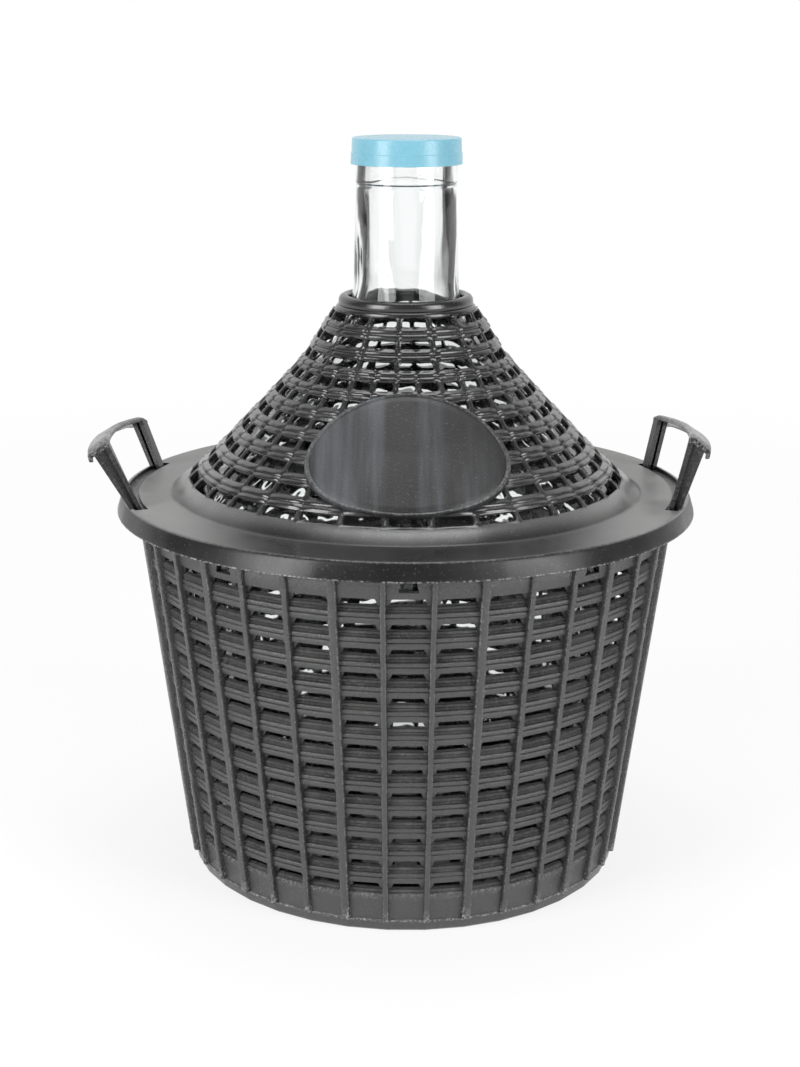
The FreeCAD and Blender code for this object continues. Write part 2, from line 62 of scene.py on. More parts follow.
# %% [markdown]
# A mesh is a list of points and a list of faces that name them by number.
# Python is slow at one point after another, so whole numpy arrays are handed over in one call.
# A number for wear and painted glints goes with each point: 1 on an edge that hands and floors have rubbed, 0
# elsewhere.
# On the basket's ridges, the grips and the cover's edges it also stands for painted glints and highlights.
# The black plastic reads it later and turns such places paler.

# %% Hand arrays to a mesh


def hand_over(name, points, quads, triangles=None, wear_and_glints=None, crease=40.0):
    """Make an object from points in millimetres, four-cornered faces and, where given, three-cornered ones."""
    loops = quads.reshape(-1)
    sizes = np.full(len(quads), 4)
    if triangles is not None:
        loops = np.concatenate([loops, triangles.reshape(-1)])
        sizes = np.concatenate([sizes, np.full(len(triangles), 3)])
    mesh = bpy.data.meshes.new(name)
    mesh.vertices.add(len(points))
    mesh.vertices.foreach_set("co", (points * MM).astype(np.float32).reshape(-1))
    mesh.loops.add(len(loops))
    mesh.loops.foreach_set("vertex_index", loops.astype(np.int32))
    mesh.polygons.add(len(sizes))
    mesh.polygons.foreach_set("loop_start", (np.cumsum(sizes) - sizes).astype(np.int32))
    mesh.polygons.foreach_set("use_smooth", np.ones(len(sizes), bool))
    mesh.update(calc_edges=True)
    mesh.set_sharp_from_angle(angle=math.radians(crease))
    layer = mesh.attributes.new("wear_and_glints", "FLOAT", "POINT")
    layer.data.foreach_set("value", (np.zeros(len(points)) if wear_and_glints is None else wear_and_glints).astype(np.float32))
    made = bpy.data.objects.new(name, mesh)
    bpy.context.scene.collection.objects.link(made)
    print(name, len(points), "points", int((sizes - 2).sum()), "triangles")
    return made


# %% [markdown]
# Both black mouldings are thin walls full of openings.
# Cutting each opening with a boolean would be slow and leave ragged edges.
# Here the wall is a grid that is bent round into a ring: one skin outside and one inside.
# An opening is a cell left out of both skins, and four small faces then line its edge, so the wall stays closed.

# %% A wall with openings


def ring_points(angles, radii, heights):
    """Points at (radius cos angle, radius sin angle, height); the three arrays share one shape."""
    return np.stack([radii * np.cos(angles), radii * np.sin(angles), heights], axis=-1)


def walled_grid(outside, inside, removed, foot_rim=True):
    """Faces of a closed wall between two skins of rows by columns, where the last column meets the first.

    A removed cell is left out of both skins; wherever it borders a kept one, a face joins the skins.
    Faces also join the skins along the top edge and, where foot_rim says so, along the foot.
    """
    rows, columns = outside.shape[:2]
    number = np.arange(rows * columns).reshape(rows, columns)
    here, beside = number, np.roll(number, -1, axis=1)
    inner = rows * columns
    kept = ~removed
    skin_out = np.stack([here[:-1], beside[:-1], beside[1:], here[1:]], axis=-1)[kept]
    skin_in = np.stack([here[:-1], here[1:], beside[1:], beside[:-1]], axis=-1)[kept] + inner
    gone = np.pad(removed, ((1, 1), (0, 0)), constant_values=False)
    gone[0], gone[-1] = foot_rim, True
    full = ~gone
    under = gone[1:] & full[:-1]
    over = gone[:-1] & full[1:]
    left = removed & np.roll(kept, 1, axis=1)
    right = removed & np.roll(kept, -1, axis=1)

    def joined(start, end):
        return np.stack([start, end, end + inner, start + inner], axis=-1)

    rims = [joined(here, beside)[under], joined(beside, here)[over],
            joined(here[1:], here[:-1])[left], joined(beside[:-1], beside[1:])[right]]
    points = np.concatenate([outside.reshape(-1, 3), inside.reshape(-1, 3)])
    return points, np.concatenate([skin_out, skin_in] + rims)


print("wall helper ready")

# %% [markdown]
# Turned pieces such as the bottle and cap are a profile swung about the upright axis.
# A straight profile line needs only its two ends, and a rounded corner needs a fan of points on a small arc.
# The helper below rounds the corners of an outline, so that an outline can be written as a few corners.

# %% Rounded outlines


def rounded_outline(corners, steps=6):
    """Points of an outline whose corners (across, up, radius) are replaced by arcs of that radius.

    Each arc touches both sides of its corner: its centre lies on the bisector at radius / sin(half angle).
    """
    made = []
    for before, corner, after in zip(corners[-1:] + corners[:-1], corners, corners[1:] + corners[:1]):
        point, radius = np.array(corner[:2]), corner[2]
        if radius <= 0:
            made.append(point[None])
            continue
        first, second = np.array(before[:2]) - point, np.array(after[:2]) - point
        first, second = first / np.linalg.norm(first), second / np.linalg.norm(second)
        half = math.acos(float(first @ second)) / 2
        middle = (first + second) / np.linalg.norm(first + second)
        centre = point + middle * radius / math.sin(half)
        start = point + first * radius / math.tan(half) - centre
        end = point + second * radius / math.tan(half) - centre
        share = np.linspace(0, 1, steps + 1)[:, None]
        swing = math.pi - 2 * half
        made.append(centre + (np.sin((1 - share) * swing) * start + np.sin(share * swing) * end) / math.sin(swing))
    return np.concatenate(made)


def turned(name, outline, count, ripple, crease=40.0):
    """Swing a closed outline (radius, height) about the upright axis; points on the axis become one.

    The outline runs so that the material lies on its left, so the faces point outwards.
    ripple takes the angles, radii and heights of all points and gives new radii and heights.
    """
    on_axis = outline[:, 0] < 1e-6
    ring = outline[~on_axis]
    angles = np.linspace(0, FULL_TURN, count, endpoint=False)
    radii = np.repeat(ring[:, :1], count, axis=1)
    heights = np.repeat(ring[:, 1:], count, axis=1)
    angles = np.broadcast_to(angles, radii.shape)
    radii, heights = ripple(angles, radii, heights)
    points = ring_points(angles, radii, heights).reshape(-1, 3)
    number = np.arange(len(ring) * count).reshape(len(ring), count)
    beside = np.roll(number, -1, axis=1)
    quads = np.stack([number[:-1], beside[:-1], beside[1:], number[1:]], axis=-1).reshape(-1, 4)
    foot, top = len(points), len(points) + 1
    points = np.concatenate([points, [[0, 0, outline[on_axis][0, 1]], [0, 0, outline[on_axis][-1, 1]]]])
    fans = np.concatenate([
        np.stack([np.full(count, foot), beside[0], number[0]], axis=-1),
        np.stack([np.full(count, top), number[-1], beside[-1]], axis=-1)])
    return hand_over(name, points, quads, fans, crease=crease)


print("turning helper ready")

# %% [markdown]
# Materials here are small node trees.
# A few short helpers place the nodes that every finish needs: noise, a ramp of values, and a bump.
# All patterns read Object coordinates, which are metres on the object itself, so a pattern keeps its real size.

# %% Node helpers


def new_finish(name):
    """An empty material with its output and one Principled shader, as (material, tree, shader)."""
    material = bpy.data.materials.new(name)
    material.use_nodes = True
    tree = material.node_tree
    shader = tree.nodes["Principled BSDF"]
    return material, tree, shader


def noise(tree, per_metre, detail=4.0, roughness=0.55, stretch=(1, 1, 1)):
    """Cloudy values from 0 to 1, with about per_metre clouds to the metre."""
    place = tree.nodes.new("ShaderNodeTexCoord")
    scale = tree.nodes.new("ShaderNodeMapping")
    scale.inputs["Scale"].default_value = stretch
    cloud = tree.nodes.new("ShaderNodeTexNoise")
    cloud.inputs["Scale"].default_value = per_metre
    cloud.inputs["Detail"].default_value = detail
    cloud.inputs["Roughness"].default_value = roughness
    tree.links.new(place.outputs["Object"], scale.inputs["Vector"])
    tree.links.new(scale.outputs["Vector"], cloud.inputs["Vector"])
    return cloud.outputs["Fac"]


def spread(tree, value, low, high, to_low=0.0, to_high=1.0):
    """Stretch the part of a value between low and high over a new range, smoothly."""
    node = tree.nodes.new("ShaderNodeMapRange")
    node.interpolation_type = "SMOOTHSTEP"
    node.inputs["From Min"].default_value = low
    node.inputs["From Max"].default_value = high
    node.inputs["To Min"].default_value = to_low
    node.inputs["To Max"].default_value = to_high
    tree.links.new(value, node.inputs["Value"])
    return node.outputs["Result"]


def combine(tree, kind, first, second):
    """One arithmetic step between two values; the second may be a plain number."""
    node = tree.nodes.new("ShaderNodeMath")
    node.operation = kind
    tree.links.new(first, node.inputs[0])
    if isinstance(second, (int, float)):
        node.inputs[1].default_value = second
    else:
        tree.links.new(second, node.inputs[1])
    return node.outputs["Value"]


def blend_colour(tree, share, first, second):
    """Mix two colours by a value; each is a socket or three numbers."""
    node = tree.nodes.new("ShaderNodeMix")
    node.data_type = "RGBA"
    tree.links.new(share, node.inputs["Factor"])
    for socket, colour in ((node.inputs["A"], first), (node.inputs["B"], second)):
        if isinstance(colour, tuple):
            socket.default_value = colour + (1.0,)
        else:
            tree.links.new(colour, socket)
    return node.outputs["Result"]


def bump(tree, shader, layers):
    """Chain bumps of (height value, distance in metres) into the shader's normal."""
    last = None
    for height, distance in layers:
        node = tree.nodes.new("ShaderNodeBump")
        node.inputs["Distance"].default_value = distance
        tree.links.new(height, node.inputs["Height"])
        if last is not None:
            tree.links.new(last, node.inputs["Normal"])
        last = node.outputs["Normal"]
    tree.links.new(last, shader.inputs["Normal"])


print("node helpers ready")

# %% [markdown]
# The basket and cover are black polyethylene straight from a mould, then carried about for a while.
# Such plastic is a dark grey-black with a satin skin: fine grain, soft streaks of shine and pale edges.
# The pale edges are partly rubbed and partly painted glints and highlights.
# Dust settles where a face looks up, so the share of dust follows how far the surface points to the sky.
# The same pale layer is also painted sheen: on the tops of the grips, and on the cover's sides, where light grazes
# them.

# %% Black plastic
BELL_FOOT = (0.218, 0.223)


def black_plastic(name, shade, shine, dust_and_sheen_share, grain, gloss=0.6, streaks=0.0, bell=None):
    """Satin black moulding: shade is its colour, shine its middle roughness, the next number how grey its top faces
    turn with dust and painted sheen.

    Grain is the depth of its texture in metres, gloss the strength of its mirror image.
    Streaks are soft upright bands, where the plastic flowed into a wide flat place.
    A cover has a glossier bell, given as (roughness, gloss), and a pale layer that is nearly gone in front and full
    at its left and right sides: dust, and painted sheen where light grazes the flange.
    The bell's finish takes over between the two heights in BELL_FOOT, which are metres above the ground.
    """
    material, tree, shader = new_finish(name)
    clouds = noise(tree, 28.0, 5.0)
    specks = noise(tree, 900.0, 3.0, 0.6)
    fine = noise(tree, 2600.0, 2.0, 0.6)
    # The layer read here holds real wear and painted glints and highlights alike.
    wear_and_glint_layer = tree.nodes.new("ShaderNodeAttribute")
    wear_and_glint_layer.attribute_name = "wear_and_glints"
    scuffs = spread(tree, noise(tree, 620.0, 5.0, 0.7), 0.44, 0.66)
    edge = combine(tree, "MULTIPLY", wear_and_glint_layer.outputs["Fac"], scuffs)
    facing = tree.nodes.new("ShaderNodeNewGeometry")
    split = tree.nodes.new("ShaderNodeSeparateXYZ")
    tree.links.new(facing.outputs["Normal"], split.inputs["Vector"])
    upward = spread(tree, split.outputs["Z"], 0.55, 0.98)
    patchy = spread(tree, clouds, 0.3, 0.7, 0.55, 1.0)
    dust_and_sheen = combine(tree, "MULTIPLY", combine(tree, "MULTIPLY", upward, patchy), dust_and_sheen_share)
    if bell is not None:
        spot = tree.nodes.new("ShaderNodeTexCoord")
        axes = tree.nodes.new("ShaderNodeSeparateXYZ")
        tree.links.new(spot.outputs["Object"], axes.inputs["Vector"])
        # On a cover the pale layer fades almost to nothing in front and is full at the sides: painted sheen of
        # grazing light, with some dust.
        aside = combine(tree, "ABSOLUTE", axes.outputs["X"], 0.0)
        dust_and_sheen = combine(tree, "MULTIPLY", dust_and_sheen, spread(tree, aside, 0.07, 0.14, 0.05, 1.0))
    flecks = combine(tree, "MULTIPLY", spread(tree, specks, 0.63, 0.71), 0.45)
    base = blend_colour(tree, clouds, (shade * 0.8,) * 3, (shade * 1.25,) * 3)
    if streaks:
        upright = noise(tree, 55.0, 4.0, 0.6, (1, 0.08, 0.08))
        flow = combine(tree, "MULTIPLY", spread(tree, upright, 0.4, 0.75), streaks)
        base = blend_colour(tree, flow, base, (0.12, 0.13, 0.145))
    base = blend_colour(tree, flecks, base, (0.16, 0.16, 0.16))
    # Pale grey on faces that look up: dust, and painted sheen on the grips' tops and the cover's sides.
    base = blend_colour(tree, dust_and_sheen, base, (0.25, 0.248, 0.245))
    # Paler where that layer says: rubbed edges, and painted glints and highlights on the basket's ridges, the grips
    # and the cover's edges.
    base = blend_colour(tree, edge, base, (0.42, 0.42, 0.42))
    tree.links.new(base, shader.inputs["Base Color"])
    rough = combine(tree, "ADD", spread(tree, clouds, 0.3, 0.7, shine - 0.07, shine + 0.09),
                    combine(tree, "MULTIPLY", dust_and_sheen, 0.15))
    shader.inputs["Specular IOR Level"].default_value = gloss
    if bell is not None:
        height = axes.outputs["Z"]
        rough = combine(tree, "ADD", rough, spread(tree, height, *BELL_FOOT, 0.0, bell[0] - shine))
        tree.links.new(spread(tree, height, *BELL_FOOT, gloss, bell[1]), shader.inputs["Specular IOR Level"])
    tree.links.new(rough, shader.inputs["Roughness"])
    bump(tree, shader, [(noise(tree, 28.0, 1.0), 0.0006), (specks, grain), (fine, grain * 0.4)])
    return material


basket_finish = black_plastic("basket_black", 0.021, 0.23, 0.4, 0.0004, 1.0)
handle_finish = black_plastic("handle_black", 0.008, 0.26, 0.3, 0.00006)
cover_finish = black_plastic("cover_black", 0.009, 0.3, 1.0, 0.00005, 0.42, bell=(0.22, 0.9))
plate_finish = black_plastic("plate_black", 0.014, 0.36, 0.1, 0.0002, 0.5, streaks=0.6)
print("four black finishes")

# %% [markdown]
# The basket wall stands like a stack of thirteen overlapping slats, crossed by 36 upright ribs.
# Each slat is smooth and full below, has two roped ridges above and leans in behind the next one.
# A see-through slit is left under every overhang, between each two ribs.
# The rows of the grid follow that profile, and the columns follow the bays, so every slit is one row of cells.

# %% Slat profile
BASKET_RADIUS, BASKET_SLOPE, BASKET_HEIGHT = 122.6, 0.1272, 214.6
BAYS, SLAT_ROWS, SLAT_PITCH, LOWEST_LEDGE = 36, 13, 13.69, 29.6
slat = np.array([
    (0.0, 0.0), (0.6, 0.2), (1.9, 0.25), (2.9, 0.05), (3.3, -0.9), (3.8, 0.0), (4.9, 0.1), (5.7, -0.2),
    (6.1, -1.9), (6.8, -0.3), (7.4, -2.0), (8.2, -0.55), (8.9, -2.2), (10.0, -1.5), (13.2, -1.6)])
RIDGES = [9, 11]
print("slat profile of", len(slat), "points, slit", round(slat[-1, 0] - slat[-2, 0], 1), "mm high")

# %% Rows and columns of the wall
RIB_FOOT, NOTCH_FOOT, NOTCH_TOP = 6.6, 197.4, 207.6
ledges = LOWEST_LEDGE + SLAT_PITCH * np.arange(SLAT_ROWS)
foot_rows = np.array([(0.0, -1.5), (1.5, 0.0), (5.4, 0.35), (RIB_FOOT, 0.3), (7.1, -0.25), (18.6, -0.2)])
lowest = slat[9:] + (LOWEST_LEDGE - SLAT_PITCH, 0)
stacked = [slat + (ledge, 0) for ledge in ledges[:-1]]
top_rows = np.array([(ledges[-1], 0.0), (ledges[-1] + 0.8, 0.15), (NOTCH_FOOT, 0.15), (200.2, 0.15), (201.4, -0.2),
                     (202.4, -0.35), (203.2, 0.1), (NOTCH_TOP, 0.1), (212.3, 0.1)])
wall_rows = np.concatenate([foot_rows, lowest] + stacked + [top_rows])
wall_up, wall_out = wall_rows[:, 0], wall_rows[:, 1]
notch_rows = np.flatnonzero((wall_up >= NOTCH_FOOT) & (wall_up <= NOTCH_TOP))
slit_feet = ledges - SLAT_PITCH + slat[-2, 0]
slit_rows = np.argmin(abs(wall_up[:, None] - slit_feet), axis=0)
print(len(wall_rows), "rows, slits start at", wall_up[slit_rows].round(1).tolist())

# %% Bend the wall into a basket
WALL_THICK, THINNEST, FLOOR_THICK = 3.7, 1.2, 3.0
SLIT_MARGIN, SLIT_TAPER, MIDDLE_HALF, NOTCH_HALF, NOTCH_TAPER = 2.7, 1.7, 3.0, 5.2, 0.22


def basket_radius(height):
    """Outer radius of the basket wall at a height, a straight cone."""
    return BASKET_RADIUS + BASKET_SLOPE * height


def basket_wall_points():
    """Two skins of the wall. Column angles are bay centre plus offset / radius, so widths stay in millimetres.

    A flat slat's radius grows away from the middle of its bay as 1 / cos(angle from the middle).
    """
    half_bay = math.pi / BAYS
    centres = FRONT + FULL_TURN / BAYS * np.arange(BAYS)
    radius = basket_radius(wall_up)[:, None, None]
    slit_half = radius * half_bay - SLIT_MARGIN
    offsets = np.concatenate([-radius * half_bay, -slit_half, np.full_like(radius, -MIDDLE_HALF),
                              np.full_like(radius, MIDDLE_HALF), slit_half], axis=2)
    offsets = np.broadcast_to(offsets, (len(wall_up), BAYS, 5)).copy()
    offsets[slit_rows + 1, :, 1] += SLIT_TAPER
    offsets[slit_rows + 1, :, 4] -= SLIT_TAPER
    notch_half = NOTCH_HALF - NOTCH_TAPER * (wall_up[notch_rows, None] - NOTCH_FOOT)
    offsets[notch_rows, :, 2], offsets[notch_rows, :, 3] = -notch_half, notch_half
    angles = centres[None, :, None] + offsets / radius
    heights = np.broadcast_to(wall_up[:, None, None], offsets.shape).copy()
    heights[slit_rows + 1, :, 2:4] += seeded(3).normal(0, 0.22, (SLAT_ROWS, BAYS, 2))
    heights[slit_rows, :, 2:4] += seeded(4).normal(0, 0.15, (SLAT_ROWS, BAYS, 2))
    facet = np.cos(offsets / radius)
    radii = (radius + wall_out[:, None, None]) / facet
    inner = np.minimum((radius - WALL_THICK) / facet, radii - THINNEST)
    shape = (len(wall_up), BAYS * 5)
    angles, heights, radii, inner = (part.reshape(shape) for part in (angles, heights, radii, inner))
    inner_heights = heights.copy()
    inner_heights[:2] = [[FLOOR_THICK], [FLOOR_THICK + 0.6]]
    return ring_points(angles, radii, heights), ring_points(angles, inner, inner_heights)


outer_skin, inner_skin = basket_wall_points()
removed = np.zeros((len(wall_up) - 1, BAYS * 5), bool)
bay_cells = removed.reshape(-1, BAYS, 5)
bay_cells[slit_rows, :, 1:4] = True
bay_cells[notch_rows[:-1], ::4, 2] = True
wall_points, wall_quads = walled_grid(outer_skin, inner_skin, removed, foot_rim=False)
print(int(removed[slit_rows].sum()) // 3, "slits and", BAYS // 4, "notches for clips in the wall")

# %% [markdown]
# A rib is a long strip with a rounded back that starts just above the foot and ends under the brim.
# All 36 share one cross-section, swept up the cone, and every third one is wider, as on the real moulding.
# One array holds them all at once: rib by height by point of the cross-section.

# %% Ribs
RIB_DEPTH, NARROW_RIB, WIDE_RIB, BRIM_THICK = 3.0, 3.2, 5.0, 2.2
BRIM_FOOT = BASKET_HEIGHT - BRIM_THICK


def rib_points(levels=26):
    """Swept strips: across = share of the width, out = share of the depth past the wall."""
    across = np.array([-0.5, -0.5, -0.42, -0.24, 0.24, 0.42, 0.5, 0.5])
    out = np.array([-0.9, 0.55, 0.86, 1.0, 1.0, 0.86, 0.55, -0.9])
    ribs = np.arange(BAYS)
    width = np.where(ribs % 3 == 1, WIDE_RIB, NARROW_RIB)[:, None, None]
    centre = (FRONT + FULL_TURN / BAYS * (ribs + 0.5))[:, None, None]
    height = np.linspace(RIB_FOOT, BRIM_FOOT, levels)[None, :, None]
    waver = seeded(7).normal(0, 0.12, (BAYS, levels, 1))
    depth = RIB_DEPTH * (1 + seeded(8).normal(0, 0.02, (BAYS, levels, 1)))
    radius = basket_radius(height) + out * np.minimum(depth, RIB_DEPTH)
    angle = centre + (across * width + waver) / radius
    shape = np.broadcast_shapes(radius.shape, angle.shape)
    wear_and_glints = np.broadcast_to(np.where(abs(across) == 0.42, 0.3, 0.0), shape).copy()
    wear_and_glints[:, 0] = 0.8
    return ring_points(np.broadcast_to(angle, shape), np.broadcast_to(radius, shape),
                       np.broadcast_to(height, shape)), wear_and_glints


def strip_faces(strips, levels, around):
    """Faces of strips: a tube wall between levels, and quads across both ends, which fill them if around is even."""
    number = np.arange(strips * levels * around).reshape(strips, levels, around)
    beside = np.roll(number, -1, axis=2)
    sides = np.stack([number[:, :-1], beside[:, :-1], beside[:, 1:], number[:, 1:]], axis=-1).reshape(-1, 4)
    half = around // 2
    ends = []
    for level, order in ((0, -1), (levels - 1, 1)):
        ring = number[:, level]
        for step in range(half - 1):
            far = around - 1 - step
            quad = np.stack([ring[:, step], ring[:, step + 1], ring[:, far - 1], ring[:, far]], axis=-1)
            ends.append(quad[:, ::order])
    return np.concatenate([sides] + ends)


ribs, rib_wear = rib_points()
rib_quads = strip_faces(*ribs.shape[:3])
print(len(ribs), "ribs")

# %% [markdown]
# The basket ends above in a flat brim that carries the cover, and below in a closed floor.
# The brim is four corners swung round, and the floor is two fans of triangles that close the wall's lowest rings.
# One object for the whole basket suits the real thing, which is one moulding.

# %% Brim, floor and one basket


def swung_ring(outline, count=144):
    """A closed ring: an outline of (radius, height) corners swung about the upright axis."""
    angles = np.linspace(0, FULL_TURN, count, endpoint=False)
    radii = np.repeat(outline[:, :1], count, axis=1)
    heights = np.repeat(outline[:, 1:], count, axis=1)
    points = ring_points(np.broadcast_to(angles, radii.shape), radii, heights).reshape(-1, 3)
    number = np.arange(len(outline) * count).reshape(len(outline), count)
    beside = np.roll(number, -1, axis=1)
    above, above_beside = np.roll(number, -1, axis=0), np.roll(beside, -1, axis=0)
    return points, np.stack([number, beside, above_beside, above], axis=-1).reshape(-1, 4)


def join_parts(parts):
    """Stack (points, quads, worn) of several closed parts into one set of arrays."""
    points, quads, wear_and_glints, start = [], [], [], 0
    for part_points, part_quads, part_worn in parts:
        points.append(part_points)
        quads.append(part_quads + start)
        wear_and_glints.append(part_worn)
        start += len(part_points)
    return np.concatenate(points), np.concatenate(quads), np.concatenate(wear_and_glints)


brim_outline = np.array([(146.2, BRIM_FOOT), (158.4, BRIM_FOOT), (158.4, BASKET_HEIGHT), (146.2, BASKET_HEIGHT)])
brim_points, brim_quads = swung_ring(brim_outline)
wall_wear_and_glints = np.zeros(outer_skin.shape[:2])
wall_wear_and_glints[wall_up == RIB_FOOT] = 0.9
# The ridge tops get painted glints: pale specks that stand in for light catching the roped ridges. The foot row above
# is real wear.
wall_wear_and_glints[np.isin(wall_out, slat[RIDGES, 1])] = 0.35
wall_wear_and_glints = np.concatenate([wall_wear_and_glints.reshape(-1), np.zeros(wall_wear_and_glints.size)])
parts = [(wall_points, wall_quads, wall_wear_and_glints), (ribs.reshape(-1, 3), rib_quads, rib_wear.reshape(-1)),
         (brim_points, brim_quads, np.zeros(len(brim_points)))]
points, quads, wear_and_glints = join_parts(parts)
columns = BAYS * 5
foot_ring = np.arange(columns)
floor_ring = foot_ring + outer_skin.shape[0] * columns
points = np.concatenate([points, [[0, 0, 0.0], [0, 0, FLOOR_THICK]]])
wear_and_glints = np.concatenate([wear_and_glints, [0, 0]])
under, floor = len(points) - 2, len(points) - 1
fans = np.concatenate([
    np.stack([np.full(columns, under), np.roll(foot_ring, -1), foot_ring], axis=-1),
    np.stack([np.full(columns, floor), floor_ring, np.roll(floor_ring, -1)], axis=-1)])
basket = hand_over("basket_weave", points, quads, fans, wear_and_glints, crease=38.0)
basket.data.materials.append(basket_finish)
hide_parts("basket")
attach(basket, "vessel")

# %% [markdown]
# The carrying handles belong to the basket moulding and come up through slots in the cover.
# A handle has two legs with a shallow recess on each side, and a thin grip that slopes down outwards.
# Every part of it keeps its distance from the bottle's axis, so each is an outline swung through a short arc.

# %% Handles
CREST, GRIP_DROP, GRIP_THICK, GRIP_REACH = 254.5, 7.0, 3.0, 12.0
LEG_INSIDE, LEG_OUTSIDE, STRIP = 151.5, 157.5, 2.2
GRIP_DEGREES, LEG_DEGREES, WEB_DEGREES, STRIP_DEGREES = 20.6, 19.3, 0.3, 1.2
# The grip's pale share is a painted highlight with some scuffs; the legs are only a little worn.
GRIP_WEAR_AND_HIGHLIGHT, LEG_WEAR = 0.45, 0.08


def arc_block(outline, middle, half_angle, steps):
    """A closed block: an outline of (radius, height) swung from middle - half_angle to middle + half_angle."""
    angles = middle + np.linspace(-half_angle, half_angle, steps + 1)
    around = len(outline)
    shape = (steps + 1, around)
    points = ring_points(np.broadcast_to(angles[:, None], shape), np.broadcast_to(outline[:, 0], shape),
                         np.broadcast_to(outline[:, 1], shape)).reshape(1, steps + 1, around, 3)
    return points.reshape(-1, 3), strip_faces(1, steps + 1, around)[:, ::-1]


def leg_outline(inner_foot, outer_foot, inner_top, outer_top):
    """Outline of a leg or an edge strip, from two radii at the brim to two (radius, height) corners in the grip."""
    return np.array([(inner_foot, BRIM_FOOT), (outer_foot, BRIM_FOOT), outer_top, inner_top], float)


def handle_parts(middle, grip_radius):
    """Grip, two webs and four edge strips of one handle whose grip starts at a radius."""
    outer = grip_radius + GRIP_REACH
    under, lip = CREST - GRIP_THICK, CREST - GRIP_DROP - GRIP_THICK
    grip = rounded_outline([
        (grip_radius - 0.2, under - 0.6, 0.5), (grip_radius + 2.0, under - 0.4, 0.5),
        (outer - 2.4, lip + 1.6, 0.5), (outer - 2.2, lip - 1.2, 0.6),
        (outer, lip - 1.0, 0.6), (outer, CREST - GRIP_DROP + 0.2, 1.6),
        (grip_radius + 2.0, CREST, 2.2), (grip_radius - 0.2, CREST - 1.0, 1.0)], steps=3)
    top_in = (grip_radius, CREST - 1.6)
    made = [arc_block(grip, middle, math.radians(GRIP_DEGREES), 28)]
    for side in (-1, 1):
        at = middle + side * math.radians(LEG_DEGREES)
        front = side * math.cos(middle) < 0
        top_out = (outer - 3.2, lip + 3.0) if front else (outer - 5.6, lip + 4.4)
        web = leg_outline(LEG_INSIDE + 0.4, LEG_OUTSIDE - 0.4,
                          (top_in[0] + 0.4, top_in[1]), (top_out[0] - 0.4, top_out[1]))
        inner_strip = leg_outline(LEG_INSIDE, LEG_INSIDE + STRIP, top_in, (top_in[0] + 2.6, top_in[1] - 1.2))
        outer_strip = leg_outline(LEG_OUTSIDE - STRIP, LEG_OUTSIDE, (top_out[0] - 2.6, top_out[1] + 1.2), top_out)
        made.append(arc_block(web, at, math.radians(WEB_DEGREES), 2))
        made.append(arc_block(inner_strip, at, math.radians(STRIP_DEGREES), 4))
        made.append(arc_block(outer_strip, at, math.radians(STRIP_DEGREES), 4))
    return made


def bent(points, lift, reach):
    """Bend a handle as use has bent it: (front, middle, back) lifts of the grip, (front, back) outward reaches.

    up grows from 0 at the flange to 1 at the grip, and to_front runs from -1 at the back leg to 1 at the front leg.
    The grip's two ends are rounded downwards, and its outer lip is a little shallower at the back.
    """
    up = np.clip((points[:, 2] - 217.0) / 36.0, 0, 1)
    to_front = np.clip(-points[:, 1] / 54.0, -1.15, 1.15)
    ahead, behind = np.maximum(to_front, 0), np.maximum(-to_front, 0)
    rounding = 3.0 * np.clip((abs(points[:, 1]) - 50.0) / 9.0, 0, 1) ** 2 * up ** 4
    radius = np.hypot(points[:, 0], points[:, 1])
    lip = np.clip(radius - radius.max() + 3.0, 0, 1) * np.clip((245.5 - points[:, 2]) / 1.5, 0, 1)
    raised = 2.4 * lip * behind + lift[1] + (lift[0] - lift[1]) * ahead + (lift[2] - lift[1]) * behind
    moved = points.copy()
    moved[:, 2] += up * raised - rounding
    moved[:, 0] += np.sign(points[:, 0]) * up * (reach[0] * ahead ** 2 + reach[1] * behind ** 2)
    return moved


def make_handle(name, middle, grip_radius, lift, reach):
    """One handle as its own object, with its edges softened by a small bevel, and its grip paler than its legs from
    scuffs and a painted highlight.
    """
    parts = [(bent(part[0], lift, reach), part[1], np.full(len(part[0]), LEG_WEAR if index else GRIP_WEAR_AND_HIGHLIGHT))
             for index, part in enumerate(handle_parts(middle, grip_radius))]
    points, quads, wear_and_glints = join_parts(parts)
    handle = hand_over(name, points, quads, None, wear_and_glints, crease=30.0)
    soften = handle.modifiers.new("soft_edges", "BEVEL")
    soften.width = 0.35 * MM
    soften.segments = 2
    soften.limit_method = "ANGLE"
    soften.angle_limit = math.radians(40)
    handle.data.materials.append(handle_finish)
    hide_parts("basket")
    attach(handle, "vessel")


make_handle("right_handle", 0.0, 156.5, (4.0, -1.0, -7.0), (5.0, 2.0))
make_handle("left_handle", math.pi, 163.5, (1.5, -3.0, -8.5), (6.0, 0.0))

# %% [markdown]
# The cover is one thin skin from the turned-down rim, over the flat flange, up the bell and into the collar.
# Seen in section it is a single line, so the whole cover is one grid whose rows follow that line.
# Its rings are pairs of cords with a joint at every post, and the windows lie in the bands between the rings.

# %% Bell section
BELL_BAYS, WINDOW_ROWS = 32, 10
window_radius = np.array([119.7, 109.1, 99.6, 90.2, 80.6, 71.2, 62.4, 54.3, 48.1, 41.3])
window_height = np.array([226.4, 236.3, 245.6, 255.9, 265.6, 276.0, 285.3, 295.0, 305.4, 316.2])
bell_radii = np.concatenate([[131.0], window_radius, [36.4]])
bell_heights = np.concatenate([[216.8], window_height, [324.0]])


def bell_radius(height):
    """Radius of the window bands at a height, along the measured line of the bell."""
    return np.interp(height, bell_heights, bell_radii)


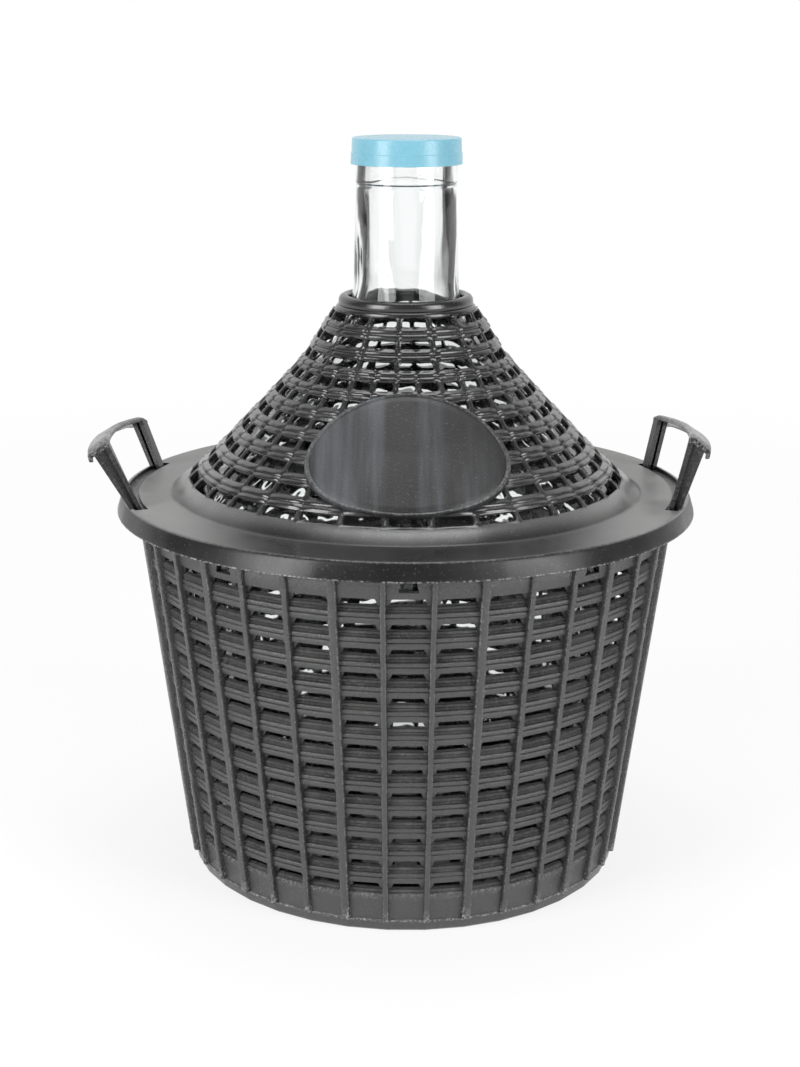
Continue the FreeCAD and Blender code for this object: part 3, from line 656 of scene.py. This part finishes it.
band = (-2.1, -1.3, 1.3, 2.1)
cords = [(0.08, 0.35), (0.2, 1.15), (0.32, 1.25), (0.43, 0.95), (0.5, 0.45),
         (0.57, 0.95), (0.68, 1.35), (0.8, 1.25), (0.92, 0.35)]
rows = [(163.0, 207.1), (162.9, 208.0), (160.9, 214.6), (160.3, 215.7), (159.6, 216.6), (158.4, 216.8),
        (157.9, 216.8), (150.6, 216.8), (134.2, 216.8), (132.4, 217.0), (131.6, 217.7), (123.9, 223.6),
        (123.2, 223.7)]
rim_count = len(rows)
band_start = []
for row in range(WINDOW_ROWS):
    band_start.append(len(rows))
    rows += [(bell_radius(window_height[row] + up), window_height[row] + up) for up in band]
    if row + 1 < WINDOW_ROWS:
        foot, top = window_height[row] + band[3], window_height[row + 1] + band[0]
        for share, out in cords:
            height = foot + (top - foot) * share
            rows.append((bell_radius(height) + out, height))
band_start = np.array(band_start)
collar = [(38.9, 318.6), (39.0, 319.5), (38.2, 320.6), (37.1, 321.1), (37.5, 321.8), (37.3, 324.2), (36.4, 325.7),
          (34.9, 326.5), (33.3, 326.4), (32.2, 325.8), (31.8, 324.6)]
rows += collar
cover_rows = np.array(rows)
print(len(cover_rows), "rows from rim to collar,", len(band_start), "window bands")

# %% Columns of the cover
POST_HALF, POST_BACK_HALF, POST_FLARE, POST_OUT = 1.5, 0.55, 0.75, 0.7
JOINT_DIP, JOINT_LIFT, FIRST_WIDE = 0.55, 0.15, WINDOW_ROWS - 3


def cover_columns():
    """Angles of all points and how far each stands out of the section line.

    A bay has six columns: post flank, post back twice, post flank, and two between the posts.
    A post widens by its flare at the corners of a window, and dips into the cords where it joins them.
    From the row FIRST_WIDE upwards only every second post is there, so the windows are twice as wide.
    """
    radius = np.maximum(cover_rows[:, 0], 36.0)[:, None, None]
    half_bay = math.pi / BELL_BAYS * radius
    centres = FRONT + FULL_TURN / BELL_BAYS * (np.arange(BELL_BAYS) - 0.5)
    post = [np.full_like(radius, across) for across in (-POST_HALF, -POST_BACK_HALF, POST_BACK_HALF, POST_HALF)]
    offsets = np.concatenate(post + [0.72 * half_bay, 1.28 * half_bay], axis=2)
    offsets = np.broadcast_to(offsets, (len(cover_rows), BELL_BAYS, 6)).copy()
    for edge in (0, 3):
        offsets[band_start + edge, :, 0] -= POST_FLARE
        offsets[band_start + edge, :, 3] += POST_FLARE
    angles = centres[None, :, None] + offsets / radius
    out = np.zeros_like(offsets)
    for step in range(len(band)):
        out[band_start + step, :, 1:3] = POST_OUT
    posts = np.arange(BELL_BAYS)
    for row, start in enumerate(band_start[:-1]):
        ring = slice(start + len(band) + 1, start + len(band) + len(cords) - 1)
        marked = posts[::2] if row >= FIRST_WIDE else posts
        out[ring, marked[:, None], np.array([1, 2])] -= JOINT_DIP
        out[ring, marked[:, None], np.array([0, 3])] += JOINT_LIFT
    shape = (len(cover_rows), BELL_BAYS * 6)
    return angles.reshape(shape), out.reshape(shape)


cover_angles, cover_out = cover_columns()
print("columns", cover_angles.shape[1])

# %% [markdown]
# The inner skin lies one wall thickness behind the outer one.
# Each row of the section knows its neighbours, so the direction square to the line is found from their difference.
# Moving every row back along that direction gives the inside of a moulding of even thickness.

# %% Two skins, slots and windows
COVER_WALL, FLANGE_ROW, FLANGE_UNDERSIDE = 1.9, 7, 214.6
along = np.gradient(cover_rows, axis=0)
along /= np.linalg.norm(along, axis=1)[:, None]
square_out = np.stack([along[:, 1], -along[:, 0]], axis=1)
padded = np.pad(square_out, ((4, 4), (0, 0)), mode="edge")
smooth = np.array([np.convolve(padded[:, axis], np.ones(9) / 9, "valid") for axis in range(2)]).T
back = np.where((np.arange(len(cover_rows)) >= rim_count)[:, None], smooth, square_out)
back /= np.linalg.norm(back, axis=1)[:, None]
bell_part = slice(rim_count, -len(collar))
outer_radii = cover_rows[:, :1] + cover_out * back[:, :1]
outer_heights = cover_rows[:, 1:] + cover_out * back[:, 1:]
inner_rows = cover_rows - back * COVER_WALL
inner_rows[bell_part, 0] = np.minimum(inner_rows[bell_part, 0], bell_radius(cover_rows[bell_part, 1]) - 1.6)
inner_rows[:3, 0] = cover_rows[:3, 0] - 1.7
inner_rows[:3, 1] = cover_rows[:3, 1] + (0.0, 0.2, 0.0)
inner_rows[3:6] = [(158.7, FLANGE_UNDERSIDE), (158.5, 214.55), (158.2, FLANGE_UNDERSIDE)]
inner_rows[6:9, 1] = FLANGE_UNDERSIDE
inner_rows[9:13] = [(130.2, 214.9), (129.2, 215.6), (121.9, 221.2), (121.0, 221.9)]
inner_rows[-len(collar):] = [
    (36.2, 318.4), (35.9, 319.0), (35.4, 320.2), (35.0, 320.8), (34.5, 321.4), (34.0, 321.8),
    (33.4, 322.0), (33.0, 322.1), (32.6, 322.3), (32.1, 322.6), (31.85, 323.2)]
slot_end = math.radians(21.6)
flange = slice(5, 9)
for middle in (0.0, math.pi, -math.pi, FULL_TURN):
    for end in (middle - slot_end, middle + slot_end):
        near = int(np.argmin(abs(cover_angles[FLANGE_ROW] - end)))
        if abs(cover_angles[FLANGE_ROW, near] - end) < math.radians(3):
            cover_angles[flange, near] = end
cover_outside = ring_points(cover_angles, outer_radii, outer_heights)
cover_inside = ring_points(cover_angles, np.broadcast_to(inner_rows[:, :1], cover_angles.shape),
                           np.broadcast_to(inner_rows[:, 1:], cover_angles.shape))
opened = np.zeros((len(cover_rows) - 1, BELL_BAYS, 6), bool)
for row, start in enumerate(band_start):
    opened[start:start + 3, :, 3:6] = True
    if row >= FIRST_WIDE:
        opened[start:start + 3, 1::2] = True
opened = opened.reshape(len(cover_rows) - 1, -1)
flange_angles = cover_angles[FLANGE_ROW]
cell_middle = flange_angles + (np.roll(flange_angles, -1) - flange_angles) % FULL_TURN / 2
to_side = np.abs((cell_middle + math.pi / 2) % math.pi - math.pi / 2)
opened[6, to_side < slot_end] = True
cover_points, cover_quads = walled_grid(cover_outside, cover_inside, opened)
# The rim's lower edge and the flange's outer top edge are paler: scuffs, and painted highlight lines along them.
cover_edge_wear_and_highlights = np.zeros(cover_outside.shape[:2])
cover_edge_wear_and_highlights[0] = 1.0
cover_edge_wear_and_highlights[4] = 0.25
print(int(opened.sum()), "open cells")

# %% [markdown]
# Small clips hang from the cover and catch in notches of the basket.
# They are nine little blocks, and sit in the same mesh because they are the same moulding.

# %% Clips and one cover
CLIPS, CLIP_HALF_ANGLE = 9, 2.2 / 148.0
clip_outline = np.array([(145.4, 199.4), (146.4, 199.4), (147.0, 201.6), (147.0, 214.8), (145.4, 214.8)])
parts = [(cover_points, cover_quads, np.concatenate([cover_edge_wear_and_highlights.reshape(-1), np.zeros(cover_edge_wear_and_highlights.size)]))]
for index in range(CLIPS):
    middle = FRONT + FULL_TURN / CLIPS * index
    clip_points, clip_quads = arc_block(clip_outline, middle, CLIP_HALF_ANGLE, 2)
    parts.append((clip_points, clip_quads, np.full(len(clip_points), 0.1)))
points, quads, wear_and_glints = join_parts(parts)
cover = hand_over("bell_cover", points, quads, None, wear_and_glints, crease=50.0)
cover.data.materials.append(cover_finish)
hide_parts("cover")
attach(cover, "vessel")

# %% [markdown]
# The oval plate stands a little proud of the rings on the front of the bell.
# It is an oval in the plane that touches the slope, wrapped on to a cone just outside the bell.
# The wrap is solved for all points at once: each moves along the slope's normal until its radius fits the cone.

# %% Oval plate
SLOPE, CONE_RADIUS, CONE_HEIGHT = 0.96, window_radius[0], window_height[0]
PLATE_HALF_WIDTH, PLATE_HALF_HEIGHT, PLATE_HEIGHT = 54.0, 37.0, 254.7


def plate_points(turns=96):
    """Rings of an oval: share of the half sizes per ring, and how far each ring stands off the cone of the bands.

    The cone's radius at a height is CONE_RADIUS - SLOPE * (height - CONE_HEIGHT).
    """
    share = np.array([0.0, 0.25, 0.5, 0.7, 0.85, 0.93, 0.95, 0.965, 0.985, 1.0, 1.0])[:, None]
    stand = np.array([4.0, 4.0, 4.0, 4.0, 4.0, 3.95, 3.4, 4.4, 4.5, 3.6, -1.0])[:, None]
    share = np.maximum(share, 0.001)
    turn = np.linspace(0, FULL_TURN, turns, endpoint=False)[None]
    across = PLATE_HALF_WIDTH * share * np.cos(turn)
    along = PLATE_HALF_HEIGHT * share * np.sin(turn)
    length = math.hypot(1, SLOPE)
    uphill = np.array([0.0, SLOPE, 1.0]) / length
    outward = np.array([0.0, -1.0, SLOPE]) / length
    base = CONE_RADIUS - SLOPE * (PLATE_HEIGHT - CONE_HEIGHT)
    depth = np.zeros_like(across)
    for _ in range(25):
        back = -base + along * uphill[1] + depth * outward[1]
        height = PLATE_HEIGHT + along * uphill[2] + depth * outward[2]
        wanted = CONE_RADIUS - SLOPE * (height - CONE_HEIGHT) + stand
        depth = depth + (wanted - np.hypot(across, back)) / length
    back = -base + along * uphill[1] + depth * outward[1]
    height = PLATE_HEIGHT + along * uphill[2] + depth * outward[2]
    return np.stack([across, back, height], axis=-1)


plate_rings = plate_points()
number = np.arange(plate_rings.shape[0] * plate_rings.shape[1]).reshape(plate_rings.shape[:2])
beside = np.roll(number, -1, axis=1)
plate_quads = np.stack([number[1:], beside[1:], beside[:-1], number[:-1]], axis=-1).reshape(-1, 4)
plate_centres = [plate_rings[0].mean(0), plate_rings[-1].mean(0)]
points = np.concatenate([plate_rings.reshape(-1, 3), plate_centres])
last, count = len(points) - 1, plate_rings.shape[1]
plate_fans = np.concatenate([
    np.stack([np.full(count, last - 1), number[0], beside[0]], axis=-1),
    np.stack([np.full(count, last), beside[-1], number[-1]], axis=-1)])
plate_worn = np.concatenate([np.repeat([0, 0, 0, 0, 0, 0, 0, 0.2, 0.35, 0.1, 0], count), [0, 0]]).astype(float)
plate = hand_over("oval_plate", points, plate_quads, plate_fans, plate_worn, crease=50.0)
plate.data.materials.append(plate_finish)
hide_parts("cover")
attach(plate, "vessel")

# %% [markdown]
# Bottle glass bends and mirrors what stands round it, so its shape matters more than its colour.
# The outside is a smooth turned form. The inside is never so even: hot glass settles in soft waves.
# Those waves, a fraction of a millimetre deep, bend the dark streaks that clear glass shows at its sides.

# %% Clear glass
glass, tree, shader = new_finish("clear_glass")
shader.inputs["Base Color"].default_value = (0.985, 0.998, 0.996, 1.0)
shader.inputs["Roughness"].default_value = 0.02
shader.inputs["IOR"].default_value = 1.5
shader.inputs["Transmission Weight"].default_value = 1.0
bump(tree, shader, [(noise(tree, 55.0, 2.0, 0.4, (1, 1, 0.35)), 0.0006)])
print("glass ready")

# %% Bottle
BOTTLE_TOP, LONGEST_STEP = 409.7, 9
bottle_outline = rounded_outline([
    (0, 3, 0), (110.0, 3, 20), (125.4, 212.6, 42), (29.5, 313.4, 55), (27.8, 385.4, 4), (27.2, 386.8, 0.6),
    (28.0, 388.0, 1.0), (28.0, BOTTLE_TOP, 1.2), (22.6, BOTTLE_TOP, 1.2), (22.5, 315.0, 58), (119.0, 211.4, 38),
    (106.4, 9, 16), (0, 9, 0)], steps=10)


def settled_glass(angles, radii, heights):
    """Soft waves on the inside of the neck: two slow sine waves of the angle that drift with height."""
    inside = (radii < 24.5) & (heights < 405) & (heights > 300)
    wave = 0.45 * np.sin(2 * angles + heights / 14) + 0.3 * np.sin(5 * angles - heights / 19 + 1)
    return radii + np.where(inside, wave, 0), heights


filled = []
for start, end in zip(bottle_outline[:-1], bottle_outline[1:]):
    off_axis = start[0] > 1 and end[0] > 1
    pieces_between = max(1, int(np.linalg.norm(end - start) // LONGEST_STEP)) if off_axis else 1
    filled.append(start + (end - start) * np.linspace(0, 1, pieces_between, endpoint=False)[:, None])
bottle_outline = np.concatenate(filled + [bottle_outline[-1:]])
bottle = turned("glass_bottle", bottle_outline, 128, settled_glass)
bottle.data.materials.append(glass)
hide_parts("bottle")
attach(bottle, "vessel")

# %% [markdown]
# The cap is soft polyethylene in light blue. Light goes a little way into it, so it glows slightly.
# Its lower edge keeps the ragged lip where the moulding was torn from its runner, made here by a random wobble.

# %% Cap
blue, tree, shader = new_finish("light_blue")
mottle = noise(tree, 70.0, 4.0)
tree.links.new(blend_colour(tree, mottle, (0.172, 0.4, 0.495), (0.182, 0.41, 0.51)), shader.inputs["Base Color"])
tree.links.new(spread(tree, mottle, 0.3, 0.7, 0.24, 0.3), shader.inputs["Roughness"])
shader.inputs["Subsurface Weight"].default_value = 0.15
shader.inputs["Subsurface Radius"].default_value = (0.002, 0.004, 0.005)
bump(tree, shader, [(noise(tree, 700.0, 3.0), 0.00005)])
cap_outline = rounded_outline([
    (0, BOTTLE_TOP, 0), (28.7, BOTTLE_TOP, 0), (28.7, 399.0, 0), (28.4, 398.6, 0), (28.4, 398.2, 0),
    (28.8, 397.5, 0), (30.7, 397.5, 0.15), (30.6, 398.2, 0.2), (30.45, 403.4, 0.2), (30.1, 403.8, 0.15),
    (29.85, 411.6, 0.9), (0, 411.6, 0)], steps=4)


def torn_edge(angles, radii, heights):
    """A ragged lower edge: random wobble of the lowest outer points, where the moulding was torn off."""
    wobble = np.convolve(seeded(11).normal(0, 0.12, angles.shape[1]), np.ones(3) / 2, "same")
    low = (heights < 397.7) & (radii > 30)
    return radii + np.where(low, np.minimum(wobble, 0.05), 0), heights + np.where(low, np.maximum(wobble, 0), 0)


cap = turned("push_cap", cap_outline, 160, torn_edge, crease=50.0)
cap.data.materials.append(blue)
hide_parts("cap")
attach(cap, "cap")

# %% [markdown]
# A cut-out product photograph has a white ground and soft light from all round.
# The world is plain white where the camera looks at it, and dimmer where it only lights.
# Reflections see the room as a studio is: a white sweep behind the object, and a dim room beside it and in front.
# Rays that leave the glass see white only close to four directions: straight ahead, back, left and right.
# The room between those is almost black, and draws dark streaks in clear glass seen from any of the four sides.
# The floor is almost white to the camera and still takes a faint shadow.

# %% Floor and world


def seen_directly(tree):
    """1 for camera, mirror and see-through rays, 0 for the rays that only carry light."""
    path = tree.nodes.new("ShaderNodeLightPath")
    both = combine(tree, "MAXIMUM", path.outputs["Is Camera Ray"], path.outputs["Is Glossy Ray"])
    return combine(tree, "MAXIMUM", both, path.outputs["Is Transmission Ray"])


def white_behind(tree, vector):
    """How white the studio looks through glass along a direction: white near the four axes, nearly black between."""
    parted = tree.nodes.new("ShaderNodeSeparateXYZ")
    tree.links.new(vector, parted.inputs["Vector"])
    across = combine(tree, "ABSOLUTE", parted.outputs["X"], 0.0)
    along_y = combine(tree, "ABSOLUTE", parted.outputs["Y"], 0.0)
    return spread(tree, combine(tree, "MAXIMUM", across, along_y), 0.885, 0.96, 0.02, 1.0)


FLOOR_REACH, FLOOR_HEIGHT = 4000.0, -0.1
floor_finish, tree, shader = new_finish("pale_floor")
shader.inputs["Base Color"].default_value = (0.92, 0.92, 0.92, 1.0)
shader.inputs["Roughness"].default_value = 0.9
glow = tree.nodes.new("ShaderNodeEmission")
both = tree.nodes.new("ShaderNodeMixShader")
place = tree.nodes.new("ShaderNodeTexCoord")
far = tree.nodes.new("ShaderNodeVectorMath")
far.operation = "LENGTH"
tree.links.new(place.outputs["Object"], far.inputs[0])
plain = spread(tree, far.outputs["Value"], 0.3, 1.6, 0.8, 1.0)
heading = tree.nodes.new("ShaderNodeVectorMath")
heading.operation = "NORMALIZE"
tree.links.new(place.outputs["Object"], heading.inputs[0])
path = tree.nodes.new("ShaderNodeLightPath")
far_behind = combine(tree, "MULTIPLY", white_behind(tree, heading.outputs["Vector"]),
                     spread(tree, far.outputs["Value"], 0.2, 0.5, 0.7, 1.0))
seen_colour = blend_colour(tree, path.outputs["Is Transmission Ray"], (1.0, 1.0, 1.0), far_behind)
tree.links.new(seen_colour, glow.inputs["Color"])
tree.links.new(combine(tree, "MULTIPLY", seen_directly(tree), plain), both.inputs["Fac"])
tree.links.new(shader.outputs["BSDF"], both.inputs[1])
tree.links.new(glow.outputs["Emission"], both.inputs[2])
tree.links.new(both.outputs["Shader"], tree.nodes["Material Output"].inputs["Surface"])
floor_corners = [(-1, -1), (1, -1), (1, 1), (-1, 1)]
floor_points = np.array([(x * FLOOR_REACH, y * FLOOR_REACH, FLOOR_HEIGHT) for x, y in floor_corners])
floor_plane = hand_over("floor", floor_points, np.array([[0, 1, 2, 3]]))
floor_plane.data.materials.append(floor_finish)

world = bpy.data.worlds.new("white_studio")
bpy.context.scene.world = world
world.use_nodes = True
tree = world.node_tree
sky = tree.nodes["Background"]
direction = tree.nodes.new("ShaderNodeTexCoord")
parted = tree.nodes.new("ShaderNodeSeparateXYZ")
tree.links.new(direction.outputs["Generated"], parted.inputs["Vector"])
sweep = spread(tree, parted.outputs["Y"], 0.2, 0.6, 0.25, 1.0)
behind = combine(tree, "MULTIPLY", white_behind(tree, direction.outputs["Generated"]),
                 spread(tree, parted.outputs["Z"], 0.12, 0.4, 1.0, 0.15))
path = tree.nodes.new("ShaderNodeLightPath")
strength = blend_colour(tree, path.outputs["Is Glossy Ray"], (0.4, 0.4, 0.4), sweep)
strength = blend_colour(tree, path.outputs["Is Transmission Ray"], strength, behind)
strength = blend_colour(tree, path.outputs["Is Camera Ray"], strength, (1.0, 1.0, 1.0))
tree.links.new(strength, sky.inputs["Color"])
sky.inputs["Strength"].default_value = 1.0
print("floor and world ready")

# %% [markdown]
# Two tall soft lamps stand in front at the left and right, and a wide one hangs above.
# Tall lamps give long soft highlights on plastic, which show its form better than small bright ones.

# %% Lamps
LAMP_AIM = np.array([0, 0, 0.2])


def soft_lamp(name, place, width, height, watts):
    """A flat lamp at a place in metres that faces LAMP_AIM, a point in the middle of the demijohn."""
    data = bpy.data.lights.new(name, "AREA")
    data.shape = "RECTANGLE"
    data.size, data.size_y = width, height
    data.energy = watts
    lamp = bpy.data.objects.new(name, data)
    bpy.context.scene.collection.objects.link(lamp)
    beam = LAMP_AIM - np.array(place)
    tilt = math.acos(-beam[2] / np.linalg.norm(beam))
    lamp.location = place
    lamp.rotation_euler = (tilt, 0, math.atan2(beam[1], beam[0]) - math.pi / 2)


soft_lamp("left_lamp", (-1.35, -1.1, 0.8), 0.8, 1.6, 29)
soft_lamp("right_lamp", (1.4, -1.1, 0.8), 0.8, 1.6, 26)
soft_lamp("top_lamp", (0.0, 0.2, 1.9), 1.0, 1.0, 12)
bpy.context.scene.view_settings.view_transform = "Standard"
print("three lamps")

# %% [markdown]
# The camera stands where the photographer stood, about a metre away and somewhat above, looking slightly down.
# Its place and its focal length were worked out from the outlines of rim, ribs, slats and base.

# %% Camera
FOCAL_PIXELS, PHOTO_PIXELS, SENSOR_MM = 1885.5, 1067, 36
camera_data = bpy.data.cameras.new("camera")
camera = bpy.data.objects.new("camera", camera_data)
bpy.context.scene.collection.objects.link(camera)
bpy.context.scene.camera = camera
camera.location = (-0.0166, -1.0460, 0.4704)
camera.rotation_euler = (math.radians(90 - 15.09), 0, math.radians(0.36))
camera_data.lens = FOCAL_PIXELS / PHOTO_PIXELS * SENSOR_MM
camera_data.shift_x = 0.0336
camera_data.clip_start = 0.01
print("lens", round(camera_data.lens, 1), "mm")

# %% Done
print("scene dressed")
